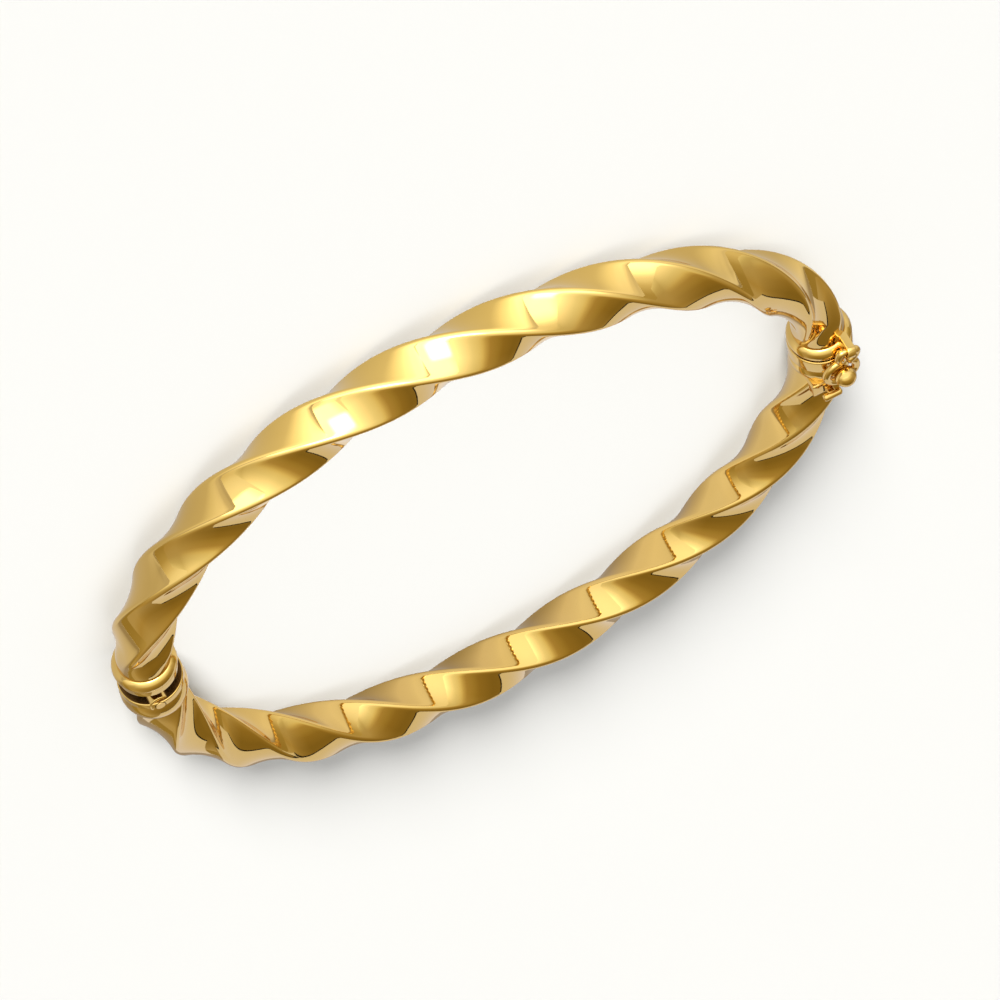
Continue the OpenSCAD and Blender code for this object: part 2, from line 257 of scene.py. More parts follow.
def dome(r_mid, r_end, h_mid, h_end, steps=16):
    """Profile points (r, h) on a circle's arc, upright at r_mid and h_mid, that ends at r_end and h_end."""
    swell, length = abs(r_mid - r_end), h_end - h_mid
    arc_r = (length ** 2 + swell ** 2) / (2 * swell)
    a = np.linspace(0, np.arcsin(min(abs(length) / arc_r, 1)), steps + 1)
    return np.stack([r_mid - arc_r * (1 - np.cos(a)), h_mid + np.sign(length) * arc_r * np.sin(a)], -1)


def bead(r, lip_in):
    """Profile of a domed bead of radius r: a lip drawn in by lip_in at the face, and a dome behind it."""
    lip = dome(r, r - lip_in, BEAD_LIP_L, 0.0)[::-1]
    back = dome(r, r - BEAD_SWELL, BEAD_LIP_L, BEAD_L)
    return np.concatenate([[(0, 0)], lip, back[1:], [(0, BEAD_L)]])


def barrel(r, swell, length):
    """Profile of a barrel from its foot to its upper rim. Its side is an arc, r out at mid-length."""
    low = dome(r, r - swell, length / 2, 0.0)[::-1]
    high = dome(r, r - swell, length / 2, length)
    return np.concatenate([[(0, 0)], low, high[1:]])


def rod(r, half, end_l, steps):
    """Profile of a round rod of radius r from -half to half, with domed ends that are end_l long."""
    end = dome(r, 0.0, half - end_l, half, steps)
    return np.concatenate([[(0, -half)], (end * [1, -1])[::-1][1:], end[:-1], [(0, half)]])


def peg(r, half):
    """Profile of a cylinder of radius r from -half to half, its edges all but sharp."""
    return filleted([(0, -half), (r, -half), (r, half), (0, half)], [SHARP_EDGE_R, SHARP_EDGE_R], steps=1)


def turned(profile, segments=144):
    """Solid of revolution along Y: each point (r, h) of the profile goes round as (r cos a, h, r sin a).
    The profile starts and ends on the axis."""
    a = np.arange(segments) * 2 * np.pi / segments
    r, h = profile[1:-1, 0, None], profile[1:-1, 1, None]
    grid = np.stack([r * np.cos(a), h + 0 * a, r * np.sin(a)], -1)
    return solid(grid, np.array([0, profile[0, 1], 0]), np.array([0, profile[-1, 1], 0]))


def rounded_box(low, high, r, steps=5):
    """Box with round edges: a sphere's grid of radius r, its eight octants pushed apart to the corners."""
    low, high = np.array(low, float), np.array(high, float)
    centre, spread = (low + high) / 2, (high - low) / 2 - r
    near_pole = np.radians(84)
    lat = np.concatenate([np.linspace(-near_pole, 0, steps), np.linspace(0, near_pole, steps)])[:, None]
    up = np.repeat([-1.0, 1.0], steps)[:, None]
    lon = (np.arange(4)[:, None] * np.pi / 2 + np.linspace(0, np.pi / 2, steps)).ravel()
    right = np.repeat([1.0, -1.0, -1.0, 1.0], steps)
    ahead = np.repeat([1.0, 1.0, -1.0, -1.0], steps)
    grid = np.stack([right * spread[0] + r * np.cos(lat) * np.cos(lon),
                     ahead * spread[1] + r * np.cos(lat) * np.sin(lon),
                     up * spread[2] + r * np.sin(lat) + 0 * lon], -1) + centre
    return solid(grid, grid[0].mean(0), grid[-1].mean(0))


def eyed_plate(hole_r, outer_r, reach, half_w, edge_r=0.08, steps=4):
    """Plate with a round hole along Z. At each angle its section is a rounded rectangle from the hole out
    to the outline: a half circle on the -Y side, and straight sides on to reach along +Y, or a whole circle
    where reach is less than its radius."""
    a = np.linspace(0, 2 * np.pi, 97)[:-1]
    if reach > outer_r:
        corner = np.arctan2(reach, outer_r)
        a = np.union1d(a, [corner, np.pi - corner])
        sides = outer_r / np.maximum(np.abs(np.cos(a)), 1e-6)
        ahead = np.minimum(sides, reach / np.maximum(np.sin(a), 1e-6))
        outline = np.where(np.sin(a) > 0, ahead, outer_r)
    else:
        outline = np.full(a.shape, outer_r)
    q = np.arange(4 * steps)
    quarter, part = q // steps, q % steps / (steps - 1) * np.pi / 2
    cos, sin = np.cos(part + quarter * np.pi / 2), np.sin(part + quarter * np.pi / 2)
    out = np.array([1, 0, 0, 1])[quarter]
    up = np.array([1, 1, -1, -1])[quarter]
    r = np.where(out == 1, outline[:, None] - edge_r, hole_r + edge_r) + edge_r * cos
    h = up * (half_w - edge_r) + edge_r * sin
    grid = np.stack([r * np.cos(a)[:, None], r * np.sin(a)[:, None], h + 0 * r], -1)
    return solid(grid)


def wire_loop(path, r, segments=28):
    """Round wire along a closed flat path: at each point a circle of radius r across its direction."""
    ahead = np.roll(path, -1, 0) - np.roll(path, 1, 0)
    ahead /= np.linalg.norm(ahead, axis=1)[:, None]
    side = np.stack([ahead[:, 1], -ahead[:, 0]], -1)
    a = np.arange(segments) * 2 * np.pi / segments
    x = path[:, 0, None] + side[:, 0, None] * r * np.cos(a)
    y = path[:, 1, None] + side[:, 1, None] * r * np.cos(a)
    return solid(np.stack([x, y, r * np.sin(a) + 0 * x], -1))


def ribbon(path, half_w, half_t, edge_r, steps=4):
    """Flat strip along an open path in Y and Z: at each point a rounded rectangle, wide along X."""
    ahead = np.gradient(path, axis=0)
    ahead /= np.linalg.norm(ahead, axis=1)[:, None]
    side = np.stack([ahead[:, 1], -ahead[:, 0]], -1)
    q = np.arange(4 * steps)
    a = (q // steps + q % steps / (steps - 1)) * np.pi / 2
    u = np.array([1, -1, -1, 1])[q // steps] * (half_w - edge_r) + edge_r * np.cos(a)
    v = np.array([1, 1, -1, -1])[q // steps] * (half_t - edge_r) + edge_r * np.sin(a)
    y = path[:, 0, None] + side[:, 0, None] * v
    z = path[:, 1, None] + side[:, 1, None] * v
    grid = np.stack([u + 0 * y, y, z], -1)
    return solid(grid, np.array([0, *path[0]]), np.array([0, *path[-1]]))


def closed_spline(points, steps):
    """Smooth closed line through points: between two of them the cubic whose ends run parallel to the line
    from the point before to the point after."""
    p = np.asarray(points, float)
    s = (np.arange(steps) / steps)[:, None]
    before, at, after, beyond = (np.roll(p, k, 0)[:, None] for k in (1, 0, -1, -2))
    curve = at + 0.5 * s * ((after - before) + s * (2 * before - 5 * at + 4 * after - beyond
                                                   + s * (3 * (at - after) + beyond - before)))
    return curve.reshape(-1, 2)


def solid(grid, first=None, last=None):
    """Vertices and outward faces of rings of points. Rings are closed. The ends close on the points first
    and last, or where none are given the last ring joins the first one."""
    rows, columns = grid.shape[:2]
    index = np.arange(rows * columns).reshape(rows, columns)
    beyond = np.roll(index, -1, 1)
    if first is None:
        a, b = index, np.roll(index, -1, 0)
        quads = np.stack([a, np.roll(a, -1, 1), np.roll(b, -1, 1), b], -1).reshape(-1, 4)
        fans = np.empty((0, 3), int)
        points = grid.reshape(-1, 3)
    else:
        quads = np.stack([index[:-1], beyond[:-1], beyond[1:], index[1:]], -1).reshape(-1, 4)
        start, end = rows * columns, rows * columns + 1
        fans = np.concatenate([
            np.stack([np.full(columns, start), beyond[0], index[0]], -1),
            np.stack([np.full(columns, end), index[-1], beyond[-1]], -1)])
        points = np.concatenate([grid.reshape(-1, 3), [first, last]])
    triangles = np.concatenate([quads[:, [0, 1, 2]], quads[:, [0, 2, 3]], fans])
    a, b, c = (points[triangles[:, k]] for k in range(3))
    if np.einsum("ij,ij->i", a, np.cross(b, c)).sum() < 0:
        quads, fans = quads[:, ::-1], fans[:, ::-1]
    return points, [*quads.tolist(), *fans.tolist()]


def moved(shape, offset=(0, 0, 0), axes=None):
    """A shape whose own X, Y and Z are laid along the rows of axes, then moved by offset."""
    points, faces = shape
    if axes is not None:
        points = points @ np.array(axes, float)
    return points + np.array(offset, float), faces


def about_z(angle):
    """Axes turned about Z by an angle, as rows."""
    return [(np.cos(angle), np.sin(angle), 0), (-np.sin(angle), np.cos(angle), 0), (0, 0, 1)]


ALONG_X = [(0, 1, 0), (1, 0, 0), (0, 0, -1)]
ALONG_Z = [(1, 0, 0), (0, 0, 1), (0, -1, 0)]
ACROSS_CATCH = [(0, 1, 0), (0, 0, -1), (1, 0, 0)]


def at_catch(shape):
    """Moves a shape drawn round the middle of the catch's bar, with the ball towards -Y, to its place."""
    return moved(shape, CATCH_PIVOT, about_z(CATCH_TURN))


def mesh_of(name, shapes):
    """One mesh in millimetres of several closed shapes."""
    points, faces, start = [], [], 0
    for shape_points, shape_faces in shapes:
        points.append(shape_points)
        faces += [[start + i for i in face] for face in shape_faces]
        start += len(shape_points)
    mesh = bpy.data.meshes.new(name)
    mesh.from_pydata(np.concatenate(points).tolist(), [], faces)
    mesh.validate()
    return mesh


def cut(name, shape, cutters):
    """The mesh of a shape with each cutter taken out of it."""
    body = bpy.data.objects.new(name, mesh_of(name, [shape]))
    bpy.context.scene.collection.objects.link(body)
    tools = []
    for number, cutter in enumerate(cutters):
        tool = bpy.data.objects.new(f"{name}_tool_{number}", mesh_of(f"{name}_tool_{number}", [cutter]))
        bpy.context.scene.collection.objects.link(tool)
        modifier = body.modifiers.new(f"cut_{number}", "BOOLEAN")
        modifier.operation = "DIFFERENCE"
        modifier.solver = "EXACT"
        modifier.object = tool
        tools.append(tool)
    bpy.context.view_layer.update()
    result = bpy.data.meshes.new_from_object(body.evaluated_get(bpy.context.evaluated_depsgraph_get()))
    for thing in [body, *tools]:
        bpy.data.objects.remove(thing)
    return result


# The pieces made so far, by the body that they ride on
riders = {body: [] for body in record["behaviour"]["bodies"]}


def front_gap_painted_shade(x, y, z):
    """Says of points which are on the front collar's face towards the hinge gap, in from its rim."""
    # Faces found here get painted shade, a dark gold in place of the shade in the hinge gap
    on_face = np.abs(y - FRONT_HINGE_FACE) < FACE_BAND
    return (np.hypot(x - HINGE_X, z) < FRONT_COLLAR_R - FRONT_RIM) & on_face


def back_gap_painted_shade(x, y, z):
    """Says of points which are on the back collar's face towards the hinge gap, in from its rim, or in the
    pocket behind it, and not at the collar's other end."""
    # Faces found here get painted shade, a dark gold in place of the shade in the gap and the pocket
    past_foot = y > BACK_HINGE_FACE - BACK_COLLAR_L + BACK_FOOT_L
    return (np.hypot(x - HINGE_X, z) < BACK_COLLAR_R - BACK_RIM) & past_foot


def piece(name, body, node, material, shapes, cutters=(), bevel=0.0, painted_shade_at=None):
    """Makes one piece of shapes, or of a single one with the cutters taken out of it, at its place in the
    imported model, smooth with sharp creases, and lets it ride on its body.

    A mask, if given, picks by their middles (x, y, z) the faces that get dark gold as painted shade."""
    mesh = cut(name, shapes[0], cutters) if cutters else mesh_of(name, shapes)
    mesh.materials.clear()
    mesh.materials.append(material)
    if painted_shade_at is not None:
        # The masked faces take a second material: dark gold that paints in the shade of a gap
        middles = np.empty(len(mesh.polygons) * 3)
        mesh.polygons.foreach_get("center", middles)
        mesh.materials.append(painted_shade_gold)
        mesh.polygons.foreach_set("material_index", painted_shade_at(*middles.reshape(-1, 3).T).astype(np.int32))
    mesh.transform(Matrix.Translation(PLACE.tolist()))
    mesh.transform(Matrix.Scale(MM, 4))
    mesh.polygons.foreach_set("use_smooth", np.ones(len(mesh.polygons), bool))
    mesh.set_sharp_from_angle(angle=CREASE)
    mesh.name = name
    thing = bpy.data.objects.new(name, mesh)
    bpy.context.scene.collection.objects.link(thing)
    if bevel:
        modifier = thing.modifiers.new("worn_edges", "BEVEL")
        modifier.width = bevel * MM
        modifier.segments = 2
        modifier.limit_method = "ANGLE"
        modifier.angle_limit = np.radians(50)
        modifier.harden_normals = True
    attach(thing, body)
    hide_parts(node)
    riders[body].append(thing)


def noise(nodes, links, scale, detail):
    """Noise on Object coordinates."""
    place = nodes.new("ShaderNodeTexCoord")
    texture = nodes.new("ShaderNodeTexNoise")
    texture.inputs["Scale"].default_value = scale
    texture.inputs["Detail"].default_value = detail
    links.new(place.outputs["Object"], texture.inputs["Vector"])
    return texture


def bump(nodes, links, texture, strength, distance):
    """Relief from a texture, its depth in metres."""
    relief = nodes.new("ShaderNodeBump")
    relief.inputs["Strength"].default_value = strength
    relief.inputs["Distance"].default_value = distance
    links.new(texture.outputs["Fac"], relief.inputs["Height"])
    return relief


def ramp(nodes, stops):
    """Colour ramp with a stop at each (position, colour)."""
    node = nodes.new("ShaderNodeValToRGB")
    while len(node.color_ramp.elements) < len(stops):
        node.color_ramp.elements.new(0.5)
    for element, (position, colour) in zip(node.color_ramp.elements, stops):
        element.position = position
    for element, (position, colour) in zip(node.color_ramp.elements, stops):
        element.color = (*colour, 1)
    return node


def polished_gold(name, tint, roughness, swirl_scale):
    """Polished yellow gold: a warm metal whose tone and gloss drift a little, with fine buffing marks."""
    material = bpy.data.materials.new(name)
    material.use_nodes = True
    nodes, links = material.node_tree.nodes, material.node_tree.links
    shader = nodes["Principled BSDF"]
    shader.inputs["Metallic"].default_value = 1.0

    tone = noise(nodes, links, scale=220, detail=3)
    colours = ramp(nodes, [(0.35, (tint[0] * 0.97, tint[1] * 0.955, tint[2] * 0.9)), (0.65, tint)])
    links.new(tone.outputs["Fac"], colours.inputs["Fac"])
    links.new(colours.outputs["Color"], shader.inputs["Base Color"])

    buffing = noise(nodes, links, scale=swirl_scale, detail=5)
    buffing.inputs["Distortion"].default_value = 1.2
    gloss = nodes.new("ShaderNodeMapRange")
    gloss.inputs["From Min"].default_value = 0.3
    gloss.inputs["From Max"].default_value = 0.7
    gloss.inputs["To Min"].default_value = roughness * 0.75
    gloss.inputs["To Max"].default_value = roughness * 1.3
    links.new(buffing.outputs["Fac"], gloss.inputs["Value"])
    links.new(gloss.outputs["Result"], shader.inputs["Roughness"])

    waves = noise(nodes, links, scale=380, detail=1.5)
    unevenness = bump(nodes, links, waves, strength=0.5, distance=0.000012)
    marks = bump(nodes, links, buffing, strength=0.25, distance=0.0000015)
    links.new(unevenness.outputs["Normal"], marks.inputs["Normal"])
    links.new(marks.outputs["Normal"], shader.inputs["Normal"])
    return material


GOLD_TINT = (0.80, 0.56, 0.18)
FITTING_TINT = (0.79, 0.545, 0.175)
# Dark gold that paints in the shade of the hinge gap
PAINTED_SHADE_TINT = (0.16, 0.085, 0.025)
tube_gold = polished_gold("tube_gold", GOLD_TINT, roughness=0.05, swirl_scale=2600)
collar_gold = polished_gold("collar_gold", GOLD_TINT, roughness=0.08, swirl_scale=3400)
fitting_gold = polished_gold("fitting_gold", FITTING_TINT, roughness=0.10, swirl_scale=4200)
# Painted shade: the dark, rougher gold put on faces in the hinge gap in place of their shade
painted_shade_gold = polished_gold("painted_shade_gold", PAINTED_SHADE_TINT, roughness=0.38, swirl_scale=3400)

# The front half: tube, hinge bead on its seat with the middle knuckle, and clasp bead with the catch's lug
bead_y = FRONT_HINGE_FACE + SEAT_L
front_tube = twisted_tube(FRONT, CLASP_FACE + FRONT_CLASP_L - BURIED_L,
                          bead_y + FRONT_COLLAR_L - BURIED_L, buried=BURIED_L)
piece("front_tube", "front", "front_half", tube_gold, [front_tube])

seat_r = FRONT_COLLAR_R - SEAT_IN
seat_end = SEAT_L + SEAT_UNDER_BEAD
seat = filleted([(0, 0), (seat_r, 0), (seat_r, seat_end), (0, seat_end)], [SEAT_EDGE_R, SEAT_EDGE_R])
knuckle_l = FRONT_HINGE_FACE - PIN_AT[1] + KNUCKLE_ROOT
knuckle = eyed_plate(PIN_R + PIN_PLAY, KNUCKLE_R, knuckle_l, KNUCKLE_HALF)
# The collar's face towards the hinge gap gets painted shade
piece("front_hinge_collar", "front", "front_half", collar_gold,
      [moved(turned(seat), (HINGE_X, FRONT_HINGE_FACE, 0)),
       moved(turned(bead(FRONT_COLLAR_R, BEAD_LIP_IN)), (HINGE_X, bead_y, 0)),
       moved(knuckle, PIN_AT)], painted_shade_at=front_gap_painted_shade)

lug = eyed_plate(WIRE_R + LUG_PLAY, WIRE_R + LUG_WALL, LUG_L, CATCH_HALF_W - WIRE_R - LUG_PLAY)
piece("front_clasp_collar", "front", "front_half", collar_gold,
      [moved(turned(bead(CLASP_R, CLASP_LIP_IN)), (CLASP_X, CLASP_FACE, 0)),
       at_catch(moved(lug, axes=ACROSS_CATCH))])

# The back half: tube, hinge collar with its two ears, clasp box with the ball, and the button's guide
back_tube = twisted_tube(BACK, -CLASP_FACE - BACK_CLASP_L + BURIED_L,
                         BACK_HINGE_FACE - BACK_COLLAR_L + BURIED_L / 2)
piece("back_tube", "back", "back_half", tube_gold, [back_tube])

barrel_l = BACK_COLLAR_L - LIP_L
lip_r = BACK_COLLAR_R - LIP_IN
lip = filleted([(lip_r - LIP_GROOVE, barrel_l), (lip_r, barrel_l + LIP_GROOVE), (lip_r, BACK_COLLAR_L),
                (0, BACK_COLLAR_L)], LIP_RADII)
hinge_barrel = turned(np.concatenate([barrel(BACK_COLLAR_R, BARREL_SWELL, barrel_l), lip]))
pocket_r = KNUCKLE_R + PASS_GAP
pocket_half = KNUCKLE_HALF + PASS_GAP
pocket = rounded_box((-pocket_r, 0, -pocket_half), (pocket_r, BACK_COLLAR_L, pocket_half),
                     SHARP_EDGE_R, steps=2)
# The collar's face and pocket at the hinge gap get painted shade
piece("back_hinge_collar", "back", "back_half", collar_gold,
      [moved(hinge_barrel, (HINGE_X, BACK_HINGE_FACE - BACK_COLLAR_L, 0))],
      cutters=[moved(turned(peg(pocket_r, pocket_half), segments=64), PIN_AT, ALONG_Z),
               moved(pocket, PIN_AT),
               moved(pocket, PIN_AT, about_z(ARM_SWING)),
               moved(turned(peg(PIN_R + PIN_PLAY, PIN_HOLE_HALF), segments=48), PIN_AT, ALONG_Z)],
      bevel=WORN_EDGE, painted_shade_at=back_gap_painted_shade)

ear_half = (BACK_COLLAR_R - EAR_IN - pocket_half) / 2
ear = eyed_plate(PIN_R + EAR_PLAY, KNUCKLE_R, 0, ear_half)
ear_up = np.array([0, 0, pocket_half + ear_half])
piece("hinge_ears", "back", "back_half", collar_gold,
      [moved(ear, PIN_AT - ear_up), moved(ear, PIN_AT + ear_up)])

ring_r = CLASP_R - RING_IN
ring = barrel(ring_r, RING_SWELL, RING_L)
box_l = RING_L + RING_GROOVE_L
box_rim = filleted([ring[-1], (ring_r - RING_SWELL, box_l), (CLASP_R, box_l),
                    (CLASP_R, BACK_CLASP_L), (0, BACK_CLASP_L)], BOX_RADII)
clasp_box = turned(np.concatenate([ring[:-1], box_rim]))
mouth_half_w = TONGUE_W / 2 + MOUTH_GAP
mouth_half_t = TONGUE_T / 2 + MOUTH_GAP
mouth = rounded_box((-mouth_half_w, -TONGUE_L - MOUTH_GAP, -mouth_half_t),
                    (mouth_half_w, MOUTH_PAST_FACE, mouth_half_t), MOUTH_EDGE_R, steps=4)
piece("clasp_box", "back", "back_half", collar_gold,
      [moved(clasp_box, (CLASP_X, -CLASP_FACE - BACK_CLASP_L, 0))],
      cutters=[moved(mouth, (CLASP_X, -CLASP_FACE, 0))], bevel=WORN_EDGE)

a = np.linspace(-np.pi / 2 + np.arcsin(BALL_NECK_R / BALL_R), np.pi / 2, num=40)
sphere = np.stack([BALL_R * np.cos(a), BALL_UP + BALL_R * np.sin(a)], -1)
sphere[-1, 0] = 0
ball = np.concatenate([[(0, -BALL_NECK_L), (BALL_NECK_R, -BALL_NECK_L)], sphere])
piece("catch_ball", "back", "back_half", fitting_gold,
      [at_catch(moved(turned(ball, segments=96), (0, -BALL_REACH, 0), ALONG_Z))])

guide = rounded_box(GUIDE_LOW, GUIDE_HIGH, GUIDE_EDGE_R)
hole_low = BAR_AT[:2] - STEM_HALF - STEM_PLAY
hole_high = BAR_AT[:2] + STEM_HALF + STEM_PLAY
stem_hole = rounded_box((*hole_low, GUIDE_LOW[2]), (*hole_high, STEM_HOLE_TOP), STEM_HOLE_EDGE_R, steps=2)
piece("button_guide", "back", "back_half", fitting_gold, [guide], cutters=[stem_hole],
      bevel=GUIDE_WORN_EDGE)

# The pin, the tongue, the safety catch and the release button
pin = turned(rod(PIN_R, BACK_COLLAR_R - PIN_IN, PIN_HEAD_L, steps=8), segments=48)
piece("hinge_rivet", "back", "hinge_pin", fitting_gold, [moved(pin, PIN_AT, ALONG_Z)])

bend = TONGUE_T / 2 - LEAF_HALF_T
root_y = CLASP_FACE + TONGUE_ROOT
tip_y = -CLASP_FACE - TONGUE_L + LEAF_HALF_T + bend
inwards = np.linspace(root_y, tip_y, num=12)
a = np.linspace(np.pi / 2, 3 * np.pi / 2, num=13)[1:-1]
hairpin = np.concatenate([
    np.stack([inwards, bend + 0 * inwards], -1),
    np.stack([tip_y + bend * np.cos(a), bend * np.sin(a)], -1),
    np.stack([inwards, -bend + 0 * inwards], -1)[::-1]])
piece("spring_tongue", "front", "tongue", fitting_gold,
      [moved(ribbon(hairpin, TONGUE_W / 2, LEAF_HALF_T, LEAF_EDGE_R), (CLASP_X, 0, 0))])

a = np.radians(np.linspace(-EYE_ARC, EYE_ARC, num=17)) - np.pi / 2
eye = np.stack([EYE_R * np.cos(a), EYE_R * np.sin(a) - BALL_REACH - EYE_PAST_BALL], -1)
waist = np.array(CATCH_WAIST)
figure = np.concatenate([eye, waist, waist[::-1] * [-1, 1]])
piece("figure_eight", "catch", "safety_catch", fitting_gold,
      [at_catch(wire_loop(closed_spline(figure, steps=10), WIRE_R))])

bar = turned(rod(BAR_R, BAR_HALF, BAR_END_L, steps=10), segments=64)
stem_low, stem_high = BAR_AT[:2] - STEM_HALF, BAR_AT[:2] + STEM_HALF
stem = rounded_box((*stem_low, STEM_FOOT), (*stem_high, BAR_AT[2]), STEM_EDGE_R)
piece("push_bar", "button", "release_button", fitting_gold, [moved(bar, BAR_AT, ALONG_X), stem])

# Camera, fitted to the photograph
CAMERA_AT = (-45.540, 326.294, 170.322)
CAMERA_RIGHT = (0.88618, -0.11256, 0.44947)
CAMERA_UP = (0.44816, 0.45456, -0.76976)
CAMERA_BACK = (-0.11767, 0.88358, 0.45326)
camera_data = bpy.data.cameras.new("camera")
camera_data.sensor_width = 36
camera_data.lens = 154.39
camera_data.shift_x = 0.0327
camera_data.shift_y = 0.0223
camera_data.clip_start = 0.01
camera_data.clip_end = 10
camera = bpy.data.objects.new("camera", camera_data)
turn = Matrix((CAMERA_RIGHT, CAMERA_UP, CAMERA_BACK)).transposed().to_4x4()
camera.matrix_world = Matrix.Translation([c * MM for c in CAMERA_AT]) @ turn
bpy.context.scene.collection.objects.link(camera)
bpy.context.scene.camera = camera

WHITE = (1, 1, 1)
BLACK = (0, 0, 0)
BOUNCE_TONE = (0.28, 0.28, 0.28)


def shares(stops):
    """Stops by a measure as stops by the share of the way from the first one to the last one."""
    start, end = stops[0][0], stops[-1][0]
    return [((at - start) / (end - start), colour) for at, colour in stops]


def graded(nodes, links, axis, stops):
    """Colour that changes along one Object axis, by (millimetres, colour) stops."""
    place = nodes.new("ShaderNodeTexCoord")
    parts = nodes.new("ShaderNodeSeparateXYZ")
    links.new(place.outputs["Object"], parts.inputs["Vector"])
    share = nodes.new("ShaderNodeMapRange")
    share.inputs["From Min"].default_value = stops[0][0] * MM
    share.inputs["From Max"].default_value = stops[-1][0] * MM
    links.new(parts.outputs[axis], share.inputs["Value"])
    colours = ramp(nodes, shares(stops))
    links.new(share.outputs["Result"], colours.inputs["Fac"])
    return colours.outputs["Color"]


def product(nodes, links, a, b):
    """Two colours multiplied."""
    mix = nodes.new("ShaderNodeMix")
    mix.data_type = "RGBA"
    mix.blend_type = "MULTIPLY"
    mix.inputs["Factor"].default_value = 1.0
    links.new(a, mix.inputs["A"])
    links.new(b, mix.inputs["B"])
    return mix.outputs["Result"]


def blended(nodes, links, share, a, b):
    """Colour a, and colour b where share is 1. Either is an output, or a plain colour set on the socket."""
    mix = nodes.new("ShaderNodeMix")
    mix.data_type = "RGBA"
    links.new(share, mix.inputs["Factor"])
    for colour, socket in ((a, mix.inputs["A"]), (b, mix.inputs["B"])):
        if isinstance(colour, tuple):
            socket.default_value = (*colour, 1)
        else:
            links.new(colour, socket)
    return mix.outputs["Result"]


def before_bounces(nodes, links, colour):
    """The colour, and a dim even grey for light that has met a dull surface on its way to the camera."""
    seen = nodes.new("ShaderNodeLightPath")
    return blended(nodes, links, seen.outputs["Diffuse Depth"], colour, BOUNCE_TONE)


def card(name, corners, paint):
    """Sheet through four corners that glows, and which only reflections see. paint(nodes, links) gives its
    colour."""
    mesh = bpy.data.meshes.new(name)
    mesh.from_pydata([[c * MM for c in corner] for corner in corners], [], [(0, 1, 2, 3)])
    material = bpy.data.materials.new(name)
    material.use_nodes = True
    nodes, links = material.node_tree.nodes, material.node_tree.links
    shader = nodes.new("ShaderNodeEmission")
    links.new(before_bounces(nodes, links, paint(nodes, links)), shader.inputs["Color"])
    links.new(shader.outputs[0], nodes["Material Output"].inputs["Surface"])
    mesh.materials.append(material)
    sheet = bpy.data.objects.new(name, mesh)
    bpy.context.scene.collection.objects.link(sheet)
    sheet.visible_camera = False
    sheet.visible_diffuse = False
    sheet.visible_shadow = False
    return sheet


def level_corners(x0, x1, y0, y1, z):
    """Corners of a level sheet at height z."""
    return [(x0, y0, z), (x1, y0, z), (x1, y1, z), (x0, y1, z)]


def upright_corners(x0, x1, y, z0, z1):
    """Corners of a sheet that stands across Y, at depth y."""
    return [(x0, y, z0), (x1, y, z0), (x1, y, z1), (x0, y, z1)]


FLOOR_HALF = 1500
FLOOR_TINTS = ((0.825, 0.818, 0.785), (0.836, 0.829, 0.796))


def pale_floor():
    """A wide flat floor, pale with the faintest unevenness."""
    half = FLOOR_HALF * MM
    mesh = bpy.data.meshes.new("floor")
    mesh.from_pydata(level_corners(-half, half, -half, half, 0), [], [(0, 1, 2, 3)])
    material = bpy.data.materials.new("floor_paint")
    material.use_nodes = True
    nodes, links = material.node_tree.nodes, material.node_tree.links
    shader = nodes["Principled BSDF"]
    shader.inputs["Roughness"].default_value = 0.9
    shader.inputs["Specular IOR Level"].default_value = 0.0
    grain = noise(nodes, links, scale=12, detail=4)
    colours = ramp(nodes, [(0, FLOOR_TINTS[0]), (1, FLOOR_TINTS[1])])
    links.new(grain.outputs["Fac"], colours.inputs["Fac"])
    links.new(colours.outputs["Color"], shader.inputs["Base Color"])
    mesh.materials.append(material)
    floor = bpy.data.objects.new("floor", mesh)
    bpy.context.scene.collection.objects.link(floor)


def aim(position, target):
    """Matrix that puts a light at position, in millimetres, with its back to the line from target."""
    at, to = np.array(position, float), np.array(target, float)
    back = (at - to) / np.linalg.norm(at - to)
    right = np.cross((0, 0, 1), back)
    right /= np.linalg.norm(right)
    up = np.cross(back, right)
    return Matrix.Translation((at * MM).tolist()) @ Matrix((right, up, back)).transposed().to_4x4()


def towards(azimuth, elevation, distance=1.0):
    """Point at a distance, seen from the middle under an azimuth from +X and an elevation, in degrees."""
    az, el = np.radians(azimuth), np.radians(elevation)
    return distance * np.array([np.cos(az) * np.cos(el), np.sin(az) * np.cos(el), np.sin(el)])


LAMP_TARGET = (0, 0, 3)
SUN_DISTANCE = 500


def lamp_of(name, data, position):
    """Puts a light at a position, in millimetres, aimed at the bangle."""
    lamp = bpy.data.objects.new(name, data)
    lamp.matrix_world = aim(position, LAMP_TARGET)
    lamp.visible_camera = False
    bpy.context.scene.collection.objects.link(lamp)
    return lamp


def softbox(name, position, width, height, radiance, across, upward):
    """Rectangle of light that glows with the given radiance times two profiles, (share, level) stops across
    its width and up its height, so that its edges are soft."""
    data = bpy.data.lights.new(name, "AREA")
    data.shape = "RECTANGLE"
    data.size = width * MM
    data.size_y = height * MM
    data.energy = np.pi * data.size * data.size_y * radiance
    data.use_nodes = True
    nodes, links = data.node_tree.nodes, data.node_tree.links
    place = nodes.new("ShaderNodeNewGeometry")
    parts = nodes.new("ShaderNodeSeparateXYZ")
    links.new(place.outputs["Parametric"], parts.inputs["Vector"])
    levels = []
    for axis, stops in (("X", across), ("Y", upward)):
        profile = ramp(nodes, [(share, (level, level, level)) for share, level in stops])
        profile.color_ramp.interpolation = "EASE"
        links.new(parts.outputs[axis], profile.inputs["Fac"])
        levels.append(profile.outputs["Color"])
    glow = before_bounces(nodes, links, product(nodes, links, *levels))
    links.new(glow, nodes["Emission"].inputs["Color"])
    return lamp_of(name, data, position)


